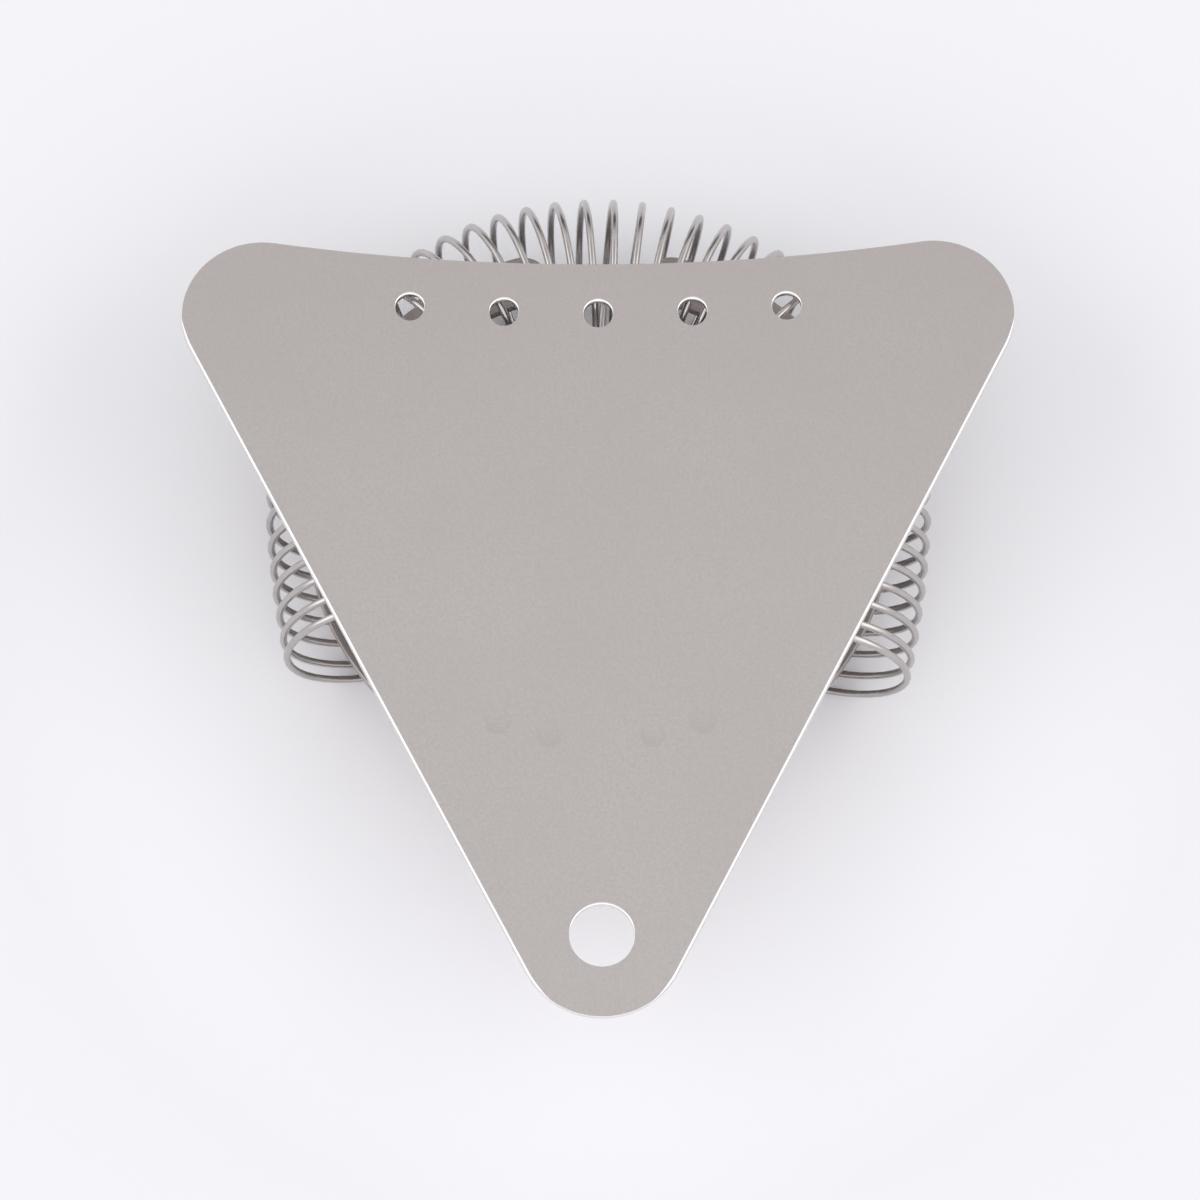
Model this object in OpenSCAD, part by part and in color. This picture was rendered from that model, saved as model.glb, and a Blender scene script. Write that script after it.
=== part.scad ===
// Hawthorne strainer: a flat perforated plate with a hanging hole, two carrier
// arms spot welded under it, and a coil spring threaded on the arms.
// Lengths are in millimetres. The strainer stands on its spring at z = 0, the
// handle end points to -Y and the spring faces +Y.

/* [Plate] */

// overall width across the two front corners
plate_w = 115; // [90:0.5:140]
// length from the handle tip to the middle of the front edge
plate_l = 109.3; // [80:0.1:130]
// sheet thickness
plate_t = 0.9; // [0.6:0.1:1.5]
// radius of the two front corners
corner_r = 11; // [6:0.5:16]
// radius of the handle tip
tip_r = 11.3; // [8:0.1:16]
// radius of the shallow inward curve of the front edge
front_arc_r = 300; // [200:5:800]
// diameter of the hanging hole
hang_hole_d = 8.6; // [6:0.1:10]

/* [Strainer holes] */

// number of holes in the row
hole_count = 5; // [3:2:7]
// hole diameter
hole_d = 4; // [2:0.1:6]
// distance between neighbouring holes, measured across
hole_pitch = 13; // [8:0.5:18]
// distance from the front edge to the row
hole_setback = 7.6; // [5:0.1:15]

/* [Spring] */

// wire diameter
wire_d = 1; // [0.8:0.1:1.6]
// outside diameter of one coil
coil_od = 25; // [14:0.5:28]
// distance between neighbouring coils along the middle of the spring
coil_pitch = 3.12; // [2:0.02:5]
// radius that the middle of the spring bends to around the front
ring_r = 33.6; // [28:0.1:42]
// angle from the front centre at which the spring starts to run straighter
ring_half_a = 94; // [80:1:110]
// radius of the straighter stretch at each end of the spring
tail_r = 130; // [60:5:300]
// evenly spaced coils to the left of the front centre
coils_left = 23; // [15:1:26]
// evenly spaced coils to the right of the front centre
coils_right = 23; // [15:1:26]
// coils that close up at each end
closing_coils = 1.5; // [0.5:0.25:2]
// how far the spring stands out in front of the plate's front edge
spring_overhang = 15.2; // [8:0.1:20]

/* [Carrier arms] */

// width of the flat arm strip
arm_w = 7.2; // [5:0.1:9]
// thickness of the arm strip
arm_t = 1.2; // [0.8:0.1:2]
// radius of the middle line of the arms
arm_r = 37; // [30:0.1:42]
// how far the centre of that line lies behind the centre of the spring
arm_setback = 0.9; // [0:0.1:2]
// angle from the front centre to the round end of each arm
arm_tip_a = 16.5; // [10:0.5:40]
// angle from the front centre where the arm starts to rise to the plate
rise_start_a = 130; // [125:1:140]
// angle from the front centre where the arm has reached the plate
rise_end_a = 154; // [145:1:160]
// angle from the front centre to the round end of the foot under the plate
foot_end_a = 171.5; // [165:0.5:174]

/* [Spot welds] */

// diameter of each weld nugget
weld_d = 3.2; // [2:0.1:5]
// depth that a nugget reaches into the plate and into the foot
weld_depth = 0.5; // [0.2:0.1:0.8]
// radius of the circle that the welds stand on
weld_r = 38.4; // [34:0.1:40]
// angles of the two welds of a foot, from the front centre
weld_angles = [159, 169.5]; // [150:0.5:175]

/* [Clearances] */

// gap between the top of the spring and the plate
spring_gap = 0.2; // [0.1:0.05:0.5]
// gap between one arc of the spring's wire and the next
arc_gap = 0.02; // [0.01:0.01:0.1]

/* [Hidden] */

steel = [0.72, 0.69, 0.67];
dark_steel = [0.58, 0.55, 0.54];
wire_steel = [0.78, 0.76, 0.75];
weld_steel = [0.50, 0.47, 0.45];

// facets of round cuts and discs
large_fn = 720;
ring_fn = 180;
outline_fn = 96;
hole_fn = 48;
// how far a cut runs past each face of the sheet
cut_past = 1;

// heights
coil_r = (coil_od - wire_d) / 2;
coil_z = coil_od / 2;
plate_z = coil_od + spring_gap;

// places along Y, with the whole strainer centred on the origin
total_l = plate_l + spring_overhang;
tip_y = -total_l / 2;
front_y = tip_y + plate_l;
ring_y = total_l / 2 - ring_r - coil_od / 2;

// plate outline
tip_c = [0, tip_y + tip_r];
corner_x = plate_w / 2 - corner_r;
front_c = [0, front_y + front_arc_r];
corner_y = front_c[1] - sqrt(pow(front_arc_r + corner_r, 2) - pow(corner_x, 2));
corner_c = [corner_x, corner_y];
side_len = norm(corner_c - tip_c);
side_a = atan2(corner_x, corner_y - tip_c[1]) - asin((tip_r - corner_r) / side_len);
side_n = [cos(side_a), -sin(side_a)];
front_n = (front_c - corner_c) / norm(front_c - corner_c);

// spring, with its wire drawn as equal arcs that lie end to end
wire_sides = 6;
arcs_per_coil = 4;
steps_per_arc = 4;
// gap between neighbouring coils at the closed ends
closed_gap = 0.1;
end_pitch = wire_d + closed_gap;
ring_arc_l = ring_r * ring_half_a * PI / 180;
// distance from the front centre to the outermost point of the coil nearest to it
phase_shift = 1.5;
first_turn = -(coils_left + closing_coils);
last_turn = coils_right + closing_coils;
arc_count = round((last_turn - first_turn) * arcs_per_coil);
arc_turns = (last_turn - first_turn) / arc_count;
gap_turns = arc_gap / (2 * PI * coil_r);

// carrier arms
arm_y = ring_y - arm_setback;
foot_z = plate_z - arm_t;
arm_z = coil_z - arm_t / 2;
rise_steps = 10;
rise_overlap_a = 0.8;
rise_inset = 0.03;

function mirror_x(p) = [-p[0], p[1]];
function polar(r, a) = [r * sin(a), arm_y + r * cos(a)];

// distance of a coil from the front centre, measured along the spring
function closing_run(extra) =
    extra <= 0 ? 0 : coil_pitch * extra
        - (coil_pitch - end_pitch) * pow(extra, 2) / (2 * closing_coils);
function run_at(turn, even_turns) =
    coil_pitch * min(turn, even_turns) + closing_run(turn - even_turns);
function coil_run(turn) =
    phase_shift + (turn < 0 ? -run_at(-turn, coils_left) : run_at(turn, coils_right));

// middle line of the spring: heading angle and position for a given distance
function run_heading(run) =
    let (d = abs(run),
         a = d < ring_arc_l ? d / ring_r * 180 / PI
             : ring_half_a + (d - ring_arc_l) / tail_r * 180 / PI)
    run < 0 ? -a : a;
function run_point(run) =
    let (h = abs(run_heading(run)),
         ring_end = ring_r * [sin(ring_half_a), cos(ring_half_a)],
         p = h < ring_half_a ? ring_r * [sin(h), cos(h)]
             : ring_end + tail_r * [sin(h) - sin(ring_half_a), cos(h) - cos(ring_half_a)])
    [run < 0 ? -p[0] : p[0], ring_y + p[1]];

// one cross-section of the wire, a given number of turns from the front coil
function wire_ring(turn) =
    let (around = 360 * turn,
         run = coil_run(turn),
         h = run_heading(run),
         p = run_point(run),
         outward = [sin(h), cos(h), 0],
         along = [cos(h), -sin(h), 0],
         e1 = cos(around) * outward + [0, 0, sin(around)],
         c = [p[0], p[1], coil_z] + coil_r * e1)
    [for (j = [0 : wire_sides - 1])
        c + wire_d / 2 * (cos(360 * j / wire_sides) * e1 + sin(360 * j / wire_sides) * along)];

// one cross-section of the rising stretch of an arm
function rise_ease(u) = u <= 0 ? 0 : u >= 1 ? 1 : u * u * (3 - 2 * u);
function rise_ring(a) =
    let (u = (a - rise_start_a) / (rise_end_a - rise_start_a),
         z = arm_z + (foot_z - arm_z) * rise_ease(u),
         r_in = arm_r - arm_w / 2 + rise_inset,
         r_out = arm_r + arm_w / 2 - rise_inset,
         p_in = polar(r_in, a),
         p_out = polar(r_out, a))
    [[p_in[0], p_in[1], z + rise_inset],
     [p_out[0], p_out[1], z + rise_inset],
     [p_out[0], p_out[1], z + arm_t - rise_inset],
     [p_in[0], p_in[1], z + arm_t - rise_inset]];

// skin through a row of cross-sections that have the same number of points
module sweep(rings) {
    sides = len(rings[0]);
    last = len(rings) - 1;
    points = [for (ring = rings) each ring];
    walls = [for (i = [0 : last - 1], j = [0 : sides - 1])
        let (k = (j + 1) % sides, a = i * sides, b = a + sides)
        each [[a + j, b + j, b + k], [a + j, b + k, a + k]]];
    first_cap = [for (j = [0 : sides - 1]) j];
    last_cap = [for (j = [sides - 1 : -1 : 0]) last * sides + j];
    polyhedron(points, concat(walls, [first_cap, last_cap]));
}

module plate_outline() {
    difference() {
        polygon([
            tip_c + tip_r * side_n,
            corner_c + corner_r * side_n,
            corner_c + corner_r * front_n,
            mirror_x(corner_c + corner_r * front_n),
            mirror_x(corner_c + corner_r * side_n),
            mirror_x(tip_c + tip_r * side_n)
        ]);
        translate(front_c)
            circle(r = front_arc_r, $fn = large_fn);
    }
    translate(tip_c)
        circle(r = tip_r, $fn = outline_fn);
    for (side = [-1, 1])
        translate([side * corner_c[0], corner_c[1]])
            circle(r = corner_r, $fn = outline_fn);
}

module strainer_holes() {
    row_r = front_arc_r + hole_setback;
    for (i = [-(hole_count - 1) / 2 : (hole_count - 1) / 2]) {
        x = i * hole_pitch;
        translate([x, front_c[1] - sqrt(row_r * row_r - x * x), plate_z - cut_past])
            cylinder(d = hole_d, h = plate_t + 2 * cut_past, $fn = hole_fn);
    }
}

module weld_nuggets(side) {
    for (a = weld_angles) {
        p = polar(weld_r, a);
        translate([side * p[0], p[1], plate_z - weld_depth])
            cylinder(d = weld_d, h = 2 * weld_depth, $fn = hole_fn);
    }
}

// flat stretch of arm strip between two angles
module flat_strip(start_a, end_a, z) {
    translate([0, arm_y, z])
        rotate([0, 0, 90 - end_a])
            rotate_extrude(angle = end_a - start_a, $fn = ring_fn)
                translate([arm_r - arm_w / 2, 0])
                    square([arm_w, arm_t]);
}

// round end of the arm strip
module strip_end(a, z) {
    p = polar(arm_r, a);
    translate([p[0], p[1], z])
        cylinder(d = arm_w, h = arm_t, $fn = hole_fn);
}

module carrier_arm() {
    difference() {
        union() {
            strip_end(arm_tip_a, arm_z);
            flat_strip(arm_tip_a, rise_start_a, arm_z);
            sweep([for (i = [-1 : rise_steps + 1])
                rise_ring(rise_start_a
                    + (i < 0 ? -rise_overlap_a
                       : i > rise_steps ? rise_end_a - rise_start_a + rise_overlap_a
                       : (rise_end_a - rise_start_a) * i / rise_steps))]);
            flat_strip(rise_end_a, foot_end_a, foot_z);
            strip_end(foot_end_a, foot_z);
        }
        weld_nuggets(1);
    }
}

module strainer_plate() {
    color(steel)
        difference() {
            translate([0, 0, plate_z])
                linear_extrude(plate_t)
                    plate_outline();
            strainer_holes();
            translate([tip_c[0], tip_c[1], plate_z - cut_past])
                cylinder(d = hang_hole_d, h = plate_t + 2 * cut_past, $fn = outline_fn);
            weld_nuggets(1);
            weld_nuggets(-1);
        }
}

module carrier_arm_left() {
    color(dark_steel)
        mirror([1, 0, 0])
            carrier_arm();
}

module carrier_arm_right() {
    color(dark_steel)
        carrier_arm();
}

module spot_welds() {
    color(weld_steel) {
        weld_nuggets(1);
        weld_nuggets(-1);
    }
}

// one arc of the spring's wire, from a given number of turns
module wire_arc(start_turn) {
    turns = arc_turns - gap_turns;
    sweep([for (i = [0 : steps_per_arc])
        wire_ring(start_turn + turns * i / steps_per_arc)]);
}

module coil_spring() {
    color(wire_steel)
        for (i = [0 : arc_count - 1])
            wire_arc(first_turn + i * arc_turns);
}

strainer_plate();
carrier_arm_left();
carrier_arm_right();
spot_welds();
coil_spring();
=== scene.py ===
"""Looks of the hawthorne strainer: a satin plate with bright rounded edges, two
carrier arms under it, and a bright coil spring, on a pale studio floor."""
import math

import bpy
from mathutils import Matrix, Vector
from mathutils.geometry import tessellate_polygon


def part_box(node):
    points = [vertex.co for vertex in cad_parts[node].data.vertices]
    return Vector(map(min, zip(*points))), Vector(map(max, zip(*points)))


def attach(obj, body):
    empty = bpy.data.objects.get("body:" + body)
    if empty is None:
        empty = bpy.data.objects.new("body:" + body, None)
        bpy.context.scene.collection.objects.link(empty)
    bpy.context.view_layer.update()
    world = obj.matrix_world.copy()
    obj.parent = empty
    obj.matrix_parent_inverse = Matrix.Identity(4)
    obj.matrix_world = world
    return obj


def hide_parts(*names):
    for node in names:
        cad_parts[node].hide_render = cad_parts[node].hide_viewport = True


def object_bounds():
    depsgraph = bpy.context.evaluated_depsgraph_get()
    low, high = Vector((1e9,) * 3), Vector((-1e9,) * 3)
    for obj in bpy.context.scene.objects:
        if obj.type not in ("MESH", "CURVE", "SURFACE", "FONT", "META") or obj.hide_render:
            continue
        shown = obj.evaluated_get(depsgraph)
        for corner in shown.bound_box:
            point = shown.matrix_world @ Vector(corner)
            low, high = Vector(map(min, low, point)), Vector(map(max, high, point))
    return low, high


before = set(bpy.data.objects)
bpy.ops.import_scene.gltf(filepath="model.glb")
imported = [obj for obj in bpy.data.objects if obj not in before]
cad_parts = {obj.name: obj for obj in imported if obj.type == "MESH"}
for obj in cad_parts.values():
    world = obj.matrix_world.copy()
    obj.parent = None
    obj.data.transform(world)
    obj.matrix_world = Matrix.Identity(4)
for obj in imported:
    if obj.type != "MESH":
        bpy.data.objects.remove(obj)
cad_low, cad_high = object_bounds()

# --- sizes, in metres -------------------------------------------------------

PLATE_LOW, PLATE_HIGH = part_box("strainer_plate")
ARM_LOW, ARM_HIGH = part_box("carrier_arm_right")

# plate outline
PLATE_HALF_W = 0.0575
CORNER_R = 0.011
TIP_R = 0.0113
FRONT_ARC_R = 0.300
TIP_Y = PLATE_LOW[1]
CORNER_TOP_Y = PLATE_HIGH[1]
PLATE_TOP = PLATE_HIGH[2]
PLATE_BOTTOM = PLATE_LOW[2]
TIP_C = Vector((0, TIP_Y + TIP_R))
CORNER_C = Vector((PLATE_HALF_W - CORNER_R, CORNER_TOP_Y - CORNER_R))
FRONT_C = Vector((0, CORNER_C.y + math.sqrt((FRONT_ARC_R + CORNER_R) ** 2 - CORNER_C.x ** 2)))

# holes
HANG_HOLE_R = 0.0043
HOLE_R = 0.002
HOLE_COUNT = 5
HOLE_PITCH = 0.013
HOLE_SETBACK = 0.0076

# rounded edges: how far each goes in from the wall and down from the face
SIDE_EDGE = (0.00050, 0.00030)
PLAIN_EDGE = (0.00010, 0.00010)
HOLE_EDGE = (0.00006, 0.00008)
WORN_HOLE_EDGE = (0.00042, 0.00050)
BOTTOM_EDGE = (0.00018, 0.00018)
EDGE_STEPS = 6
# how squarely a wall faces out of a slanted side, where its edge starts to widen
SIDE_EDGE_FROM = 0.90

# spring
WIRE_R = 0.0005
COIL_R = 0.012
COIL_PITCH = 0.00312
RING_R = 0.0336
RING_HALF_A = math.radians(94)
TAIL_R = 0.130
COILS_LEFT = 23
COILS_RIGHT = 23
CLOSING_COILS = 1.5
END_PITCH = 1.1 * 2 * WIRE_R
PHASE_SHIFT = 0.0015
RING_Y = cad_high[1] - RING_R - COIL_R - WIRE_R
COIL_Z = COIL_R + WIRE_R
STEPS_PER_COIL = 40
WIRE_SIDES = 12

# arms
ARM_R = 0.037
ARM_SETBACK = 0.0009
ARM_Y = RING_Y - ARM_SETBACK
ARM_W = 0.0072
ARM_T = 0.0012
ARM_TIP_A = math.radians(16.5)
RISE_START_A = math.radians(130)
RISE_END_A = math.radians(154)
FOOT_END_A = math.radians(171.5)
ARM_Z = ARM_LOW[2]
FOOT_Z = ARM_HIGH[2] - ARM_T
ARM_EDGE_R = 0.00025
ARM_END_STEPS = 12
ARM_STEPS = 96
ARM_POINT_HALF_W = 0.0001

# spot welds
WELD_R = 0.0384
WELD_ANGLES = (math.radians(159), math.radians(169.5))
WELD_MARK_R = 0.0020
WELD_DISH_DEPTH = 0.00004
WELD_SEGMENTS = 32

# room light: its strength overhead, and the share of that near the floor
ROOM_STRENGTH = 1.82
LOW_ROOM_SHARE = 0.45
# how high and how far to a side a direction points where the light starts and stops changing
LOW_ROOM_SPAN = (0.10, 0.65)
SIDE_ROOM_SPAN = (0.40, 0.75)
# level from the handle side (0) to the front (1), away from the two sides, which are at 1
ROOM_LEVELS = ((0.0, 0.94), (0.15, 0.88), (0.30, 0.59), (0.50, 0.45), (0.62, 0.40), (0.69, 0.35),
               (0.80, 0.32), (0.87, 0.55), (0.92, 0.55), (0.955, 0.15), (1.0, 0.03))

# floor: half its width, and the distances between which its painted light fades: lighter near the
# strainer, darker away from it
FLOOR_HALF_W = 1.5
FLOOR_STEPS = 6
FLOOR_PAINTED_LIGHT_FADE = (0.035, 0.085)

# camera, as the photograph was taken
CAM_ELEVATION = math.radians(68.0)
CAM_AZIMUTH = math.radians(1.1)
CAM_ROLL = math.radians(0.84)
CAM_DISTANCE = 0.8023
CAM_AIM = Vector((0.0, -0.0031, PLATE_TOP))
CAM_LENS = 178.0


# --- mesh helpers -----------------------------------------------------------

def new_object(name, verts, faces, normals=None):
    mesh = bpy.data.meshes.new(name)
    mesh.from_pydata(verts, [], faces)
    mesh.validate()
    mesh.polygons.foreach_set("use_smooth", [True] * len(mesh.polygons))
    if normals is not None:
        mesh.normals_split_custom_set_from_vertices(normals)
    mesh.update()
    obj = bpy.data.objects.new(name, mesh)
    bpy.context.scene.collection.objects.link(obj)
    return obj


def paint(obj, name, values):
    layer = obj.data.attributes.new(name, "FLOAT", "POINT")
    layer.data.foreach_set("value", values)


def polar(radius, angle):
    """A place on the arms' circle, with the angle taken from the front."""
    return Vector((radius * math.sin(angle), ARM_Y + radius * math.cos(angle)))


# --- plate ------------------------------------------------------------------

def arc(centre, radius, start, end, count, turn_in=1.0):
    """Points on an arc with their outward normals. turn_in is -1 on a hollow arc."""
    out = []
    for i in range(count):
        a = start + (end - start) * i / (count - 1)
        n = Vector((math.cos(a), math.sin(a)))
        out.append((centre + radius * n, turn_in * n))
    return out


def side_angle():
    """How far a slanted side's outward normal points back from X."""
    between = CORNER_C - TIP_C
    return math.atan2(between.x, between.y) - math.asin((TIP_R - CORNER_R) / between.length)


def plate_outline():
    """The outline from the right of the tip, anticlockwise, as points and normals."""
    side_a = side_angle()
    front_a = math.atan2(FRONT_C.y - CORNER_C.y, FRONT_C.x - CORNER_C.x)
    corner = arc(CORNER_C, CORNER_R, -side_a, front_a, 40)
    half_front = math.asin(CORNER_C.x / (FRONT_ARC_R + CORNER_R))
    front = arc(FRONT_C, FRONT_ARC_R, -math.pi / 2 + half_front,
                -math.pi / 2 - half_front, 48, -1.0)[1:-1]
    left_c = Vector((-CORNER_C.x, CORNER_C.y))
    corner_l = arc(left_c, CORNER_R, math.pi - front_a, math.pi + side_a, 40)
    tip = arc(TIP_C, TIP_R, math.pi + side_a, 2 * math.pi - side_a, 40)
    return corner + front + corner_l + tip


def round_loop(centre, radius, count):
    """A hole's loop, clockwise, with normals that point into the hole."""
    out = []
    for i in range(count):
        a = -2 * math.pi * i / count
        n = Vector((math.cos(a), math.sin(a)))
        out.append((centre + radius * n, -n))
    return out


def edge_profile(top_edge):
    """Steps down a rounded edge: inset, height, outward share and upward share."""
    out = []
    for i in range(EDGE_STEPS + 1):
        a = math.pi / 2 * i / EDGE_STEPS
        out.append((top_edge[0] * (1 - math.sin(a)),
                    PLATE_TOP - top_edge[1] * (1 - math.cos(a)), math.sin(a), math.cos(a)))
    for i in range(EDGE_STEPS + 1):
        a = math.pi / 2 * i / EDGE_STEPS
        out.append((BOTTOM_EDGE[0] * (1 - math.cos(a)),
                    PLATE_BOTTOM + BOTTOM_EDGE[1] * (1 - math.sin(a)), math.cos(a), -math.sin(a)))
    return out


def outline_edge(normal):
    """The top edge's size at a point of the outline: wide along the two slanted sides only."""
    side_a = side_angle()
    facing = abs(normal.x) * math.cos(side_a) - normal.y * math.sin(side_a)
    share = min(max((facing - SIDE_EDGE_FROM) / (1 - SIDE_EDGE_FROM), 0.0), 1.0)
    share *= share * (3 - 2 * share)
    return tuple(plain + (wide - plain) * share for plain, wide in zip(PLAIN_EDGE, SIDE_EDGE))


def hole_edge(normal):
    """The top edge's size around a hole: worn wide on the side that faces the handle."""
    share = max(-normal.y, 0.0)
    return tuple(plain + (wide - plain) * share for plain, wide in zip(HOLE_EDGE, WORN_HOLE_EDGE))


def hole_loop(centre, radius, count):
    return [(p, n, edge_profile(hole_edge(n))) for p, n in round_loop(centre, radius, count)]


def hole_places():
    row_r = FRONT_ARC_R + HOLE_SETBACK
    middle = (HOLE_COUNT - 1) / 2
    for i in range(HOLE_COUNT):
        x = (i - middle) * HOLE_PITCH
        yield Vector((x, FRONT_C.y - math.sqrt(row_r ** 2 - x ** 2)))


def weld_places():
    for side in (1, -1):
        for a in WELD_ANGLES:
            p = polar(WELD_R, a)
            yield Vector((side * p.x, p.y))


def make_plate():
    verts, normals, polish, weld_mark, faces = [], [], [], [], []

    def add(p, z, normal, bright, mark):
        verts.append((p.x, p.y, z))
        normals.append(normal)
        polish.append(bright)
        weld_mark.append(mark)
        return len(verts) - 1

    top_loops, bottom_loops = [], []
    loops = [[(p, n, edge_profile(outline_edge(n))) for p, n in plate_outline()]]
    loops.append(hole_loop(TIP_C, HANG_HOLE_R, 96))
    for centre in hole_places():
        loops.append(hole_loop(centre, HOLE_R, 56))
    for loop in loops:
        rows = []
        for step in range(2 * (EDGE_STEPS + 1)):
            row = []
            for p, n, profile in loop:
                inset, z, out_share, up_share = profile[step]
                normal = Vector((n.x * out_share, n.y * out_share, up_share))
                row.append(add(p - inset * n, z, normal, 1.0 if out_share > 0.2 else 0.0, 0.0))
            rows.append(row)
        for upper, lower in zip(rows, rows[1:]):
            for i in range(len(loop)):
                k = (i + 1) % len(loop)
                faces.append((upper[i], lower[i], lower[k], upper[k]))
        top_loops.append(rows[0])
        bottom_loops.append(rows[-1])

    # weld prints: shallow dishes in the top face, darkest on the handle side
    rings = ((1.0, 0.0, 0.0), (0.8, 0.25, 0.8), (0.55, 0.75, 0.7), (0.3, 1.0, 0.5))
    for centre in weld_places():
        rows = []
        for share, depth, mark in rings:
            row = []
            for i in range(WELD_SEGMENTS):
                a = -2 * math.pi * i / WELD_SEGMENTS
                p = centre + WELD_MARK_R * share * Vector((math.cos(a), math.sin(a)))
                row.append(add(p, PLATE_TOP - WELD_DISH_DEPTH * depth, Vector((0, 0, 1)),
                               0.0, mark * (0.6 - 0.4 * math.sin(a))))
            rows.append(row)
        for outer, inner in zip(rows, rows[1:]):
            for i in range(WELD_SEGMENTS):
                k = (i + 1) % WELD_SEGMENTS
                faces.append((outer[i], inner[i], inner[k], outer[k]))
        hub = add(centre, PLATE_TOP - WELD_DISH_DEPTH, Vector((0, 0, 1)), 0.0, 0.3)
        for i in range(WELD_SEGMENTS):
            faces.append((rows[-1][i], hub, rows[-1][(i + 1) % WELD_SEGMENTS]))
        top_loops.append(rows[0])

    for cap, flip in ((top_loops, False), (bottom_loops, True)):
        flat = [index for loop in cap for index in loop]
        outline = [[Vector(verts[index]) for index in loop] for loop in cap]
        for tri in tessellate_polygon(outline):
            corners = [flat[t] for t in tri]
            a, b, c = (Vector(verts[index]) for index in corners)
            faces_up = (b - a).cross(c - a).z > 0
            if faces_up == flip:
                corners.reverse()
            faces.append(tuple(corners))
    plate = new_object("strainer_plate_sheet", verts, faces, normals)
    paint(plate, "polish", polish)
    paint(plate, "weld_mark", weld_mark)
    return plate


# --- spring -----------------------------------------------------------------

def closing_run(extra):
    if extra <= 0:
        return 0.0
    return COIL_PITCH * extra - (COIL_PITCH - END_PITCH) * extra ** 2 / (2 * CLOSING_COILS)


def coil_run(turn):
    """Distance of a coil from the front centre, measured along the spring."""
    even = COILS_LEFT if turn < 0 else COILS_RIGHT
    d = COIL_PITCH * min(abs(turn), even) + closing_run(abs(turn) - even)
    return PHASE_SHIFT + (-d if turn < 0 else d)


def spring_middle(run):
    """Heading and middle of the spring at a distance along it."""
    d = abs(run)
    bend = RING_R * RING_HALF_A
    if d < bend:
        h = d / RING_R
        p = RING_R * Vector((math.sin(h), math.cos(h)))
    else:
        h = RING_HALF_A + (d - bend) / TAIL_R
        p = RING_R * Vector((math.sin(RING_HALF_A), math.cos(RING_HALF_A)))
        p += TAIL_R * Vector((math.sin(h) - math.sin(RING_HALF_A),
                              math.cos(h) - math.cos(RING_HALF_A)))
    side = -1 if run < 0 else 1
    return side * h, Vector((side * p.x, RING_Y + p.y, COIL_Z))


def wire_point(turn):
    around = 2 * math.pi * turn
    h, p = spring_middle(coil_run(turn))
    outward = Vector((math.sin(h), math.cos(h), 0))
    return p + COIL_R * (math.cos(around) * outward + Vector((0, 0, math.sin(around))))


def make_spring():
    first = -(COILS_LEFT + CLOSING_COILS)
    last = COILS_RIGHT + CLOSING_COILS
    count = round((last - first) * STEPS_PER_COIL)
    turns = [first + (last - first) * i / count for i in range(count + 1)]
    points = [wire_point(t) for t in turns]
    verts, normals, around_values, along_values, faces = [], [], [], [], []
    travelled = 0.0
    rows = []
    for i, (t, p) in enumerate(zip(turns, points)):
        before = points[max(i - 1, 0)]
        after = points[min(i + 1, count)]
        along = (after - before).normalized()
        h, middle = spring_middle(coil_run(t))
        e1 = p - middle
        e1 = (e1 - e1.dot(along) * along).normalized()
        e2 = along.cross(e1)
        if i:
            travelled += (p - points[i - 1]).length
        row = []
        for j in range(WIRE_SIDES):
            a = 2 * math.pi * j / WIRE_SIDES
            n = math.cos(a) * e1 + math.sin(a) * e2
            verts.append(p + WIRE_R * n)
            normals.append(n)
            around_values.append(j / WIRE_SIDES)
            along_values.append(travelled)
            row.append(len(verts) - 1)
        rows.append(row)
    for one, two in zip(rows, rows[1:]):
        for j in range(WIRE_SIDES):
            k = (j + 1) % WIRE_SIDES
            faces.append((one[j], one[k], two[k], two[j]))
    # cut ends, each a slightly domed cap
    for row, p, towards in ((rows[0], points[0], points[0] - points[1]),
                            (rows[-1], points[-1], points[-1] - points[-2])):
        out = towards.normalized()
        ring = []
        for index in row:
            verts.append(p + (Vector(verts[index]) - p) * 0.8 + out * WIRE_R * 0.25)
            normals.append((Vector(normals[index]) * 0.5 + out).normalized())
            around_values.append(around_values[index])
            along_values.append(along_values[index])
            ring.append(len(verts) - 1)
        verts.append(p + out * WIRE_R * 0.3)
        normals.append(out)
        around_values.append(0.0)
        along_values.append(along_values[row[0]])
        hub = len(verts) - 1
        for j in range(WIRE_SIDES):
            k = (j + 1) % WIRE_SIDES
            band = (row[k], row[j], ring[j], ring[k])
            cap = (ring[k], ring[j], hub)
            if row is rows[-1]:
                band = band[::-1]
                cap = cap[::-1]
            faces.append(band)
            faces.append(cap)
    spring = new_object("coil_spring_wire", verts, faces, normals)
    paint(spring, "around", around_values)
    paint(spring, "along", along_values)
    return spring


# --- carrier arms -----------------------------------------------------------

def arm_height(angle):
    u = (angle - RISE_START_A) / (RISE_END_A - RISE_START_A)
    u = min(max(u, 0.0), 1.0)
    return ARM_Z + (FOOT_Z - ARM_Z) * u * u * (3 - 2 * u)


def arm_section(angle, half_w):
    """One cross-section: points as (radius, height) round a strip with soft edges."""
    r = min(ARM_EDGE_R, half_w * 0.9)
    z = arm_height(angle)
    out = []
    for cx, cz, start in ((1, 1, 0), (-1, 1, 90), (-1, -1, 180), (1, -1, 270)):
        for step in range(4):
            a = math.radians(start + 30 * step)
            out.append((ARM_R + cx * (half_w - r) + r * math.cos(a),
                        z + ARM_T / 2 + cz * (ARM_T / 2 - r) + r * math.sin(a)))
    return out


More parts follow.
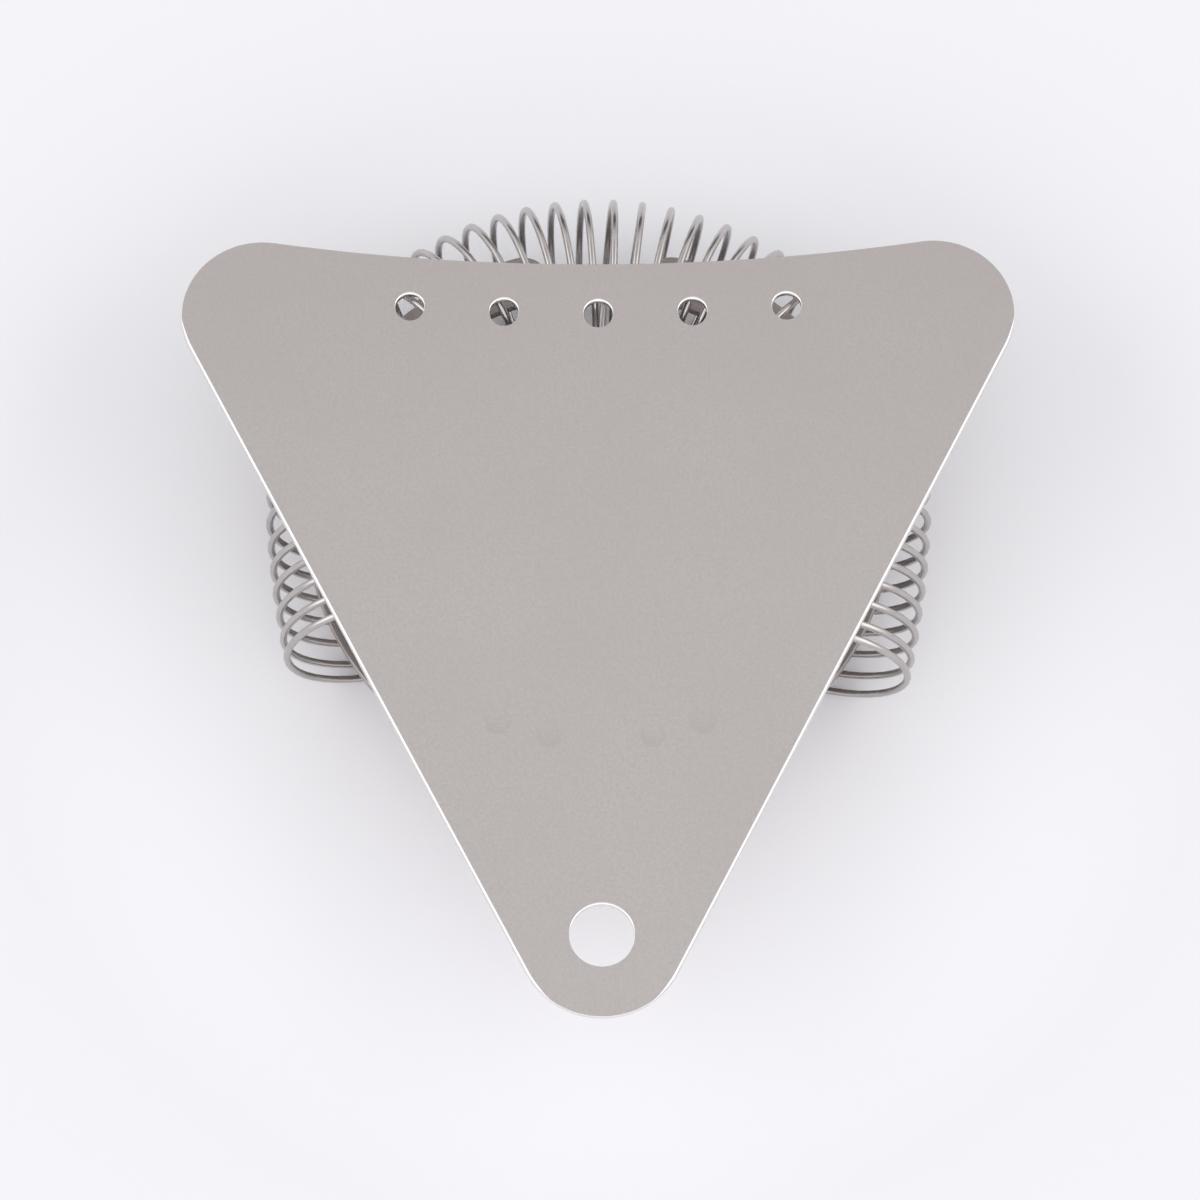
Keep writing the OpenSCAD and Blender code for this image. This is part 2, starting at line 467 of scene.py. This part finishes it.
def make_arm(name, side):
    """The strip from its round tip, through the rise, to the round end of its foot."""
    half = ARM_W / 2
    stations = []
    for i in range(ARM_END_STEPS + 1):
        a = math.pi / 2 * i / ARM_END_STEPS
        stations.append((ARM_TIP_A - half / ARM_R * math.cos(a),
                         max(half * math.sin(a), ARM_POINT_HALF_W)))
    for i in range(1, ARM_STEPS):
        stations.append((ARM_TIP_A + (FOOT_END_A - ARM_TIP_A) * i / ARM_STEPS, half))
    for i in range(ARM_END_STEPS + 1):
        a = math.pi / 2 * (1 - i / ARM_END_STEPS)
        stations.append((FOOT_END_A + half / ARM_R * math.cos(a),
                         max(half * math.sin(a), ARM_POINT_HALF_W)))
    verts, faces, along_values, across_values = [], [], [], []
    rows = []
    for angle, half_w in stations:
        row = []
        for r, z in arm_section(angle, half_w):
            p = polar(r, angle)
            verts.append(Vector((side * p.x, p.y, z)))
            along_values.append(angle * ARM_R)
            across_values.append(r)
            row.append(len(verts) - 1)
        rows.append(row)
    sides = len(rows[0])
    for one, two in zip(rows, rows[1:]):
        for j in range(sides):
            k = (j + 1) % sides
            face = (one[j], two[j], two[k], one[k])
            faces.append(face if side < 0 else face[::-1])
    for row, first in ((rows[0], True), (rows[-1], False)):
        face = tuple(row)
        faces.append(face if (side < 0) == first else face[::-1])
    arm = new_object(name, verts, faces)
    paint(arm, "along", along_values)
    paint(arm, "across", across_values)
    return arm


# --- materials --------------------------------------------------------------

class Nodes:
    """Small helper for building a material's nodes."""

    def __init__(self, name):
        self.material = bpy.data.materials.new(name)
        self.material.use_nodes = True
        self.tree = self.material.node_tree
        self.shader = self.tree.nodes["Principled BSDF"]

    def add(self, kind, **settings):
        node = self.tree.nodes.new(kind)
        for key, value in settings.items():
            setattr(node, key, value)
        return node

    def link(self, out, into):
        self.tree.links.new(out, into)

    def noise(self, vector, scale, detail=3.0, roughness=0.5):
        node = self.add("ShaderNodeTexNoise")
        node.inputs["Scale"].default_value = scale
        node.inputs["Detail"].default_value = detail
        node.inputs["Roughness"].default_value = roughness
        self.link(vector, node.inputs["Vector"])
        return node.outputs["Fac"]

    def span(self, value, low, high, new_low, new_high):
        node = self.add("ShaderNodeMapRange")
        node.inputs["From Min"].default_value = low
        node.inputs["From Max"].default_value = high
        node.inputs["To Min"].default_value = new_low
        node.inputs["To Max"].default_value = new_high
        self.link(value, node.inputs["Value"])
        return node.outputs["Result"]

    def mix(self, factor, one, two):
        node = self.add("ShaderNodeMix", data_type="RGBA")
        self.link(factor, node.inputs["Factor"])
        for socket, value in ((node.inputs["A"], one), (node.inputs["B"], two)):
            if isinstance(value, tuple):
                socket.default_value = value
            else:
                self.link(value, socket)
        return node.outputs["Result"]

    def blend_value(self, factor, one, two):
        node = self.add("ShaderNodeMix", data_type="FLOAT")
        self.link(factor, node.inputs["Factor"])
        for socket, value in ((node.inputs["A"], one), (node.inputs["B"], two)):
            if isinstance(value, float):
                socket.default_value = value
            else:
                self.link(value, socket)
        return node.outputs["Result"]

    def attribute(self, name):
        return self.add("ShaderNodeAttribute", attribute_name=name).outputs["Fac"]

    def place(self):
        return self.add("ShaderNodeTexCoord").outputs["Object"]

    def stretch(self, vector, scale):
        node = self.add("ShaderNodeMapping")
        node.inputs["Scale"].default_value = scale
        self.link(vector, node.inputs["Vector"])
        return node.outputs["Vector"]

    def bump(self, height, strength, distance):
        node = self.add("ShaderNodeBump")
        node.inputs["Strength"].default_value = strength
        node.inputs["Distance"].default_value = distance
        self.link(height, node.inputs["Height"])
        self.link(node.outputs["Normal"], self.shader.inputs["Normal"])

    def vector(self, x, y):
        node = self.add("ShaderNodeCombineXYZ")
        self.link(x, node.inputs["X"])
        self.link(y, node.inputs["Y"])
        return node.outputs["Vector"]


def satin_plate():
    m = Nodes("satin_plate_steel")
    place = m.place()
    grain = m.noise(place, 2600.0, 2.0, 0.6)
    cloud = m.noise(place, 55.0, 3.0, 0.5)
    polish = m.attribute("polish")
    weld_mark = m.attribute("weld_mark")
    tone = m.mix(m.span(cloud, 0.35, 0.65, 0.0, 1.0), (0.642, 0.600, 0.590, 1), (0.662, 0.622, 0.613, 1))
    speck = m.mix(m.span(grain, 0.3, 0.7, 0.0, 1.0), (0.598, 0.556, 0.546, 1), tone)
    marked = m.mix(m.span(weld_mark, 0.0, 1.0, 0.0, 0.18), speck, (0.42, 0.33, 0.27, 1))
    # painted shade: the plate's colour darkens towards the front edge, standing in for the dimmer
    # reflection there
    split = m.add("ShaderNodeSeparateXYZ")
    m.link(place, split.inputs["Vector"])
    front = m.span(split.outputs["Y"], 0.0, 0.045, 0.0, 0.35)
    front_painted_shade = m.mix(front, marked, (0.555, 0.495, 0.48, 1))
    colour = m.mix(polish, front_painted_shade, (0.80, 0.785, 0.775, 1))
    m.link(colour, m.shader.inputs["Base Color"])
    m.shader.inputs["Metallic"].default_value = 1.0
    rough = m.span(grain, 0.3, 0.7, 0.36, 0.44)
    m.link(m.blend_value(polish, rough, 0.16), m.shader.inputs["Roughness"])
    m.bump(grain, 0.10, 0.00002)
    return m.material


def bright_wire():
    m = Nodes("bright_drawn_wire")
    flow = m.vector(m.attribute("around"), m.attribute("along"))
    lines = m.noise(m.stretch(flow, (40.0, 260.0, 1.0)), 1.0, 3.0, 0.6)
    cloud = m.noise(m.place(), 400.0, 2.0)
    m.link(m.mix(cloud, (0.47, 0.44, 0.43, 1), (0.56, 0.53, 0.52, 1)), m.shader.inputs["Base Color"])
    m.shader.inputs["Metallic"].default_value = 1.0
    m.link(m.span(lines, 0.3, 0.7, 0.18, 0.30), m.shader.inputs["Roughness"])
    m.bump(lines, 0.08, 0.00002)
    return m.material


def rolled_strip():
    m = Nodes("rolled_strip_steel")
    flow = m.vector(m.attribute("along"), m.attribute("across"))
    lines = m.noise(m.stretch(flow, (90.0, 5200.0, 1.0)), 1.0, 4.0, 0.6)
    # painted shade: the strip's colours are kept darker than the plate's steel, standing in for the
    # shade it sits in under the plate
    cloud = m.noise(m.place(), 160.0, 3.0)
    tone = m.mix(cloud, (0.34, 0.30, 0.29, 1), (0.42, 0.38, 0.37, 1))
    m.link(m.mix(m.span(lines, 0.3, 0.7, 0.0, 0.4), tone, (0.28, 0.25, 0.24, 1)),
           m.shader.inputs["Base Color"])
    m.shader.inputs["Metallic"].default_value = 1.0
    m.link(m.span(lines, 0.3, 0.7, 0.28, 0.42), m.shader.inputs["Roughness"])
    m.bump(lines, 0.15, 0.00002)
    return m.material


def fused_weld():
    m = Nodes("fused_weld_steel")
    cloud = m.noise(m.place(), 1500.0, 3.0)
    m.link(m.mix(cloud, (0.30, 0.26, 0.24, 1), (0.45, 0.40, 0.37, 1)), m.shader.inputs["Base Color"])
    m.shader.inputs["Metallic"].default_value = 1.0
    m.link(m.span(cloud, 0.3, 0.7, 0.4, 0.6), m.shader.inputs["Roughness"])
    m.bump(cloud, 0.3, 0.00005)
    return m.material


def pale_floor():
    """Paper with painted light: lighter near the strainer, lifting its shadows, and a little darker away
    from it, standing in for the light falling off.
    """
    m = Nodes("pale_floor")
    cloud = m.noise(m.place(), 6.0, 2.0)
    reach = m.add("ShaderNodeVectorMath", operation="LENGTH")
    m.link(m.place(), reach.inputs[0])
    # painted light: the near colour lifts the strainer's shadows, the far colour stands in for the light
    # falling off
    near = m.mix(cloud, (0.945, 0.937, 0.970, 1), (0.955, 0.947, 0.980, 1))
    far = m.mix(cloud, (0.785, 0.779, 0.811, 1), (0.795, 0.789, 0.821, 1))
    m.link(m.mix(m.span(reach.outputs["Value"], *FLOOR_PAINTED_LIGHT_FADE, 0.0, 1.0), near, far),
           m.shader.inputs["Base Color"])
    m.shader.inputs["Roughness"].default_value = 0.6
    m.shader.inputs["Specular IOR Level"].default_value = 0.2
    return m.material


# --- studio -----------------------------------------------------------------

def make_floor():
    half, steps = FLOOR_HALF_W, FLOOR_STEPS
    verts, faces = [], []
    for i in range(steps + 1):
        for j in range(steps + 1):
            verts.append((-half + 2 * half * i / steps, -half + 2 * half * j / steps, 0.0))
    for i in range(steps):
        for j in range(steps):
            a = i * (steps + 1) + j
            faces.append((a, a + steps + 1, a + steps + 2, a + 1))
    floor = new_object("studio_floor", verts, faces)
    floor.data.materials.append(pale_floor())


def soft_light(name, place, size, power):
    lamp = bpy.data.lights.new(name, "AREA")
    lamp.shape = "RECTANGLE"
    lamp.size, lamp.size_y = size
    lamp.energy = power
    obj = bpy.data.objects.new(name, lamp)
    obj.location = place
    obj.rotation_mode = "QUATERNION"
    obj.rotation_quaternion = (-Vector(place)).to_track_quat("-Z", "Y")
    bpy.context.scene.collection.objects.link(obj)


def make_room():
    """A white room, brighter at its two sides, darker towards the front and near the floor."""
    world = bpy.data.worlds.new("studio_room")
    world.use_nodes = True
    tree = world.node_tree
    background = tree.nodes["Background"]
    direction = tree.nodes.new("ShaderNodeTexCoord").outputs["Generated"]
    split = tree.nodes.new("ShaderNodeSeparateXYZ")
    tree.links.new(direction, split.inputs["Vector"])
    forward = tree.nodes.new("ShaderNodeMapRange")
    forward.inputs["From Min"].default_value = -1.0
    tree.links.new(split.outputs["Y"], forward.inputs["Value"])
    upward = tree.nodes.new("ShaderNodeMapRange")
    upward.interpolation_type = "SMOOTHSTEP"
    upward.inputs["From Min"].default_value = LOW_ROOM_SPAN[0]
    upward.inputs["From Max"].default_value = LOW_ROOM_SPAN[1]
    upward.inputs["To Min"].default_value = LOW_ROOM_SHARE * ROOM_STRENGTH
    upward.inputs["To Max"].default_value = ROOM_STRENGTH
    tree.links.new(split.outputs["Z"], upward.inputs["Value"])
    tree.links.new(upward.outputs["Result"], background.inputs["Strength"])
    ramp = tree.nodes.new("ShaderNodeValToRGB")
    ramp.color_ramp.interpolation = "B_SPLINE"
    for place, level in ROOM_LEVELS[1:-1]:
        ramp.color_ramp.elements.new(place)
    for element, (place, level) in zip(ramp.color_ramp.elements, ROOM_LEVELS):
        element.position = place
        element.color = (level, level, level, 1)
    tree.links.new(forward.outputs["Result"], ramp.inputs["Fac"])
    sideways = tree.nodes.new("ShaderNodeMath")
    sideways.operation = "ABSOLUTE"
    tree.links.new(split.outputs["X"], sideways.inputs[0])
    side = tree.nodes.new("ShaderNodeMapRange")
    side.interpolation_type = "SMOOTHSTEP"
    side.inputs["From Min"].default_value = SIDE_ROOM_SPAN[0]
    side.inputs["From Max"].default_value = SIDE_ROOM_SPAN[1]
    tree.links.new(sideways.outputs["Value"], side.inputs["Value"])
    blend = tree.nodes.new("ShaderNodeMix")
    blend.data_type = "RGBA"
    blend.inputs["B"].default_value = (1, 1, 1, 1)
    tree.links.new(side.outputs["Result"], blend.inputs["Factor"])
    tree.links.new(ramp.outputs["Color"], blend.inputs["A"])
    tree.links.new(blend.outputs["Result"], background.inputs["Color"])
    bpy.context.scene.world = world


def make_lights():
    make_room()
    soft_light("left_softbox", (-1.1, -0.2, 0.8), (0.7, 0.9), 1.0)
    soft_light("right_softbox", (1.1, -0.2, 0.8), (0.7, 0.9), 1.0)
    bpy.context.scene.view_settings.view_transform = "Standard"


def make_camera():
    back = Vector((-math.sin(CAM_AZIMUTH) * math.cos(CAM_ELEVATION),
                   -math.cos(CAM_AZIMUTH) * math.cos(CAM_ELEVATION),
                   math.sin(CAM_ELEVATION)))
    right = (-back).cross(Vector((0, 0, 1))).normalized()
    up = back.cross(right)
    rolled_right = math.cos(CAM_ROLL) * right + math.sin(CAM_ROLL) * up
    rolled_up = math.cos(CAM_ROLL) * up - math.sin(CAM_ROLL) * right
    turn = Matrix((rolled_right, rolled_up, back)).transposed().to_4x4()
    data = bpy.data.cameras.new("camera")
    data.lens = CAM_LENS
    data.sensor_width = 36.0
    data.clip_start = 0.01
    camera = bpy.data.objects.new("camera", data)
    camera.matrix_world = Matrix.Translation(CAM_AIM + back * CAM_DISTANCE) @ turn
    bpy.context.scene.collection.objects.link(camera)
    bpy.context.scene.camera = camera


# --- build ------------------------------------------------------------------

make_camera()
make_lights()
make_floor()

plate = make_plate()
plate.data.materials.append(satin_plate())
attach(plate, "plate")
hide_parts("strainer_plate")

strip = rolled_strip()
for arm_side, node in ((-1, "carrier_arm_left"), (1, "carrier_arm_right")):
    arm = make_arm(node + "_strip", arm_side)
    arm.data.materials.append(strip)
    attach(arm, "plate")
    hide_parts(node)

spring = make_spring()
spring.data.materials.append(bright_wire())
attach(spring, "spring")
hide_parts("coil_spring")

welds = bpy.data.objects["spot_welds"]
welds.data.materials.clear()
welds.data.materials.append(fused_weld())
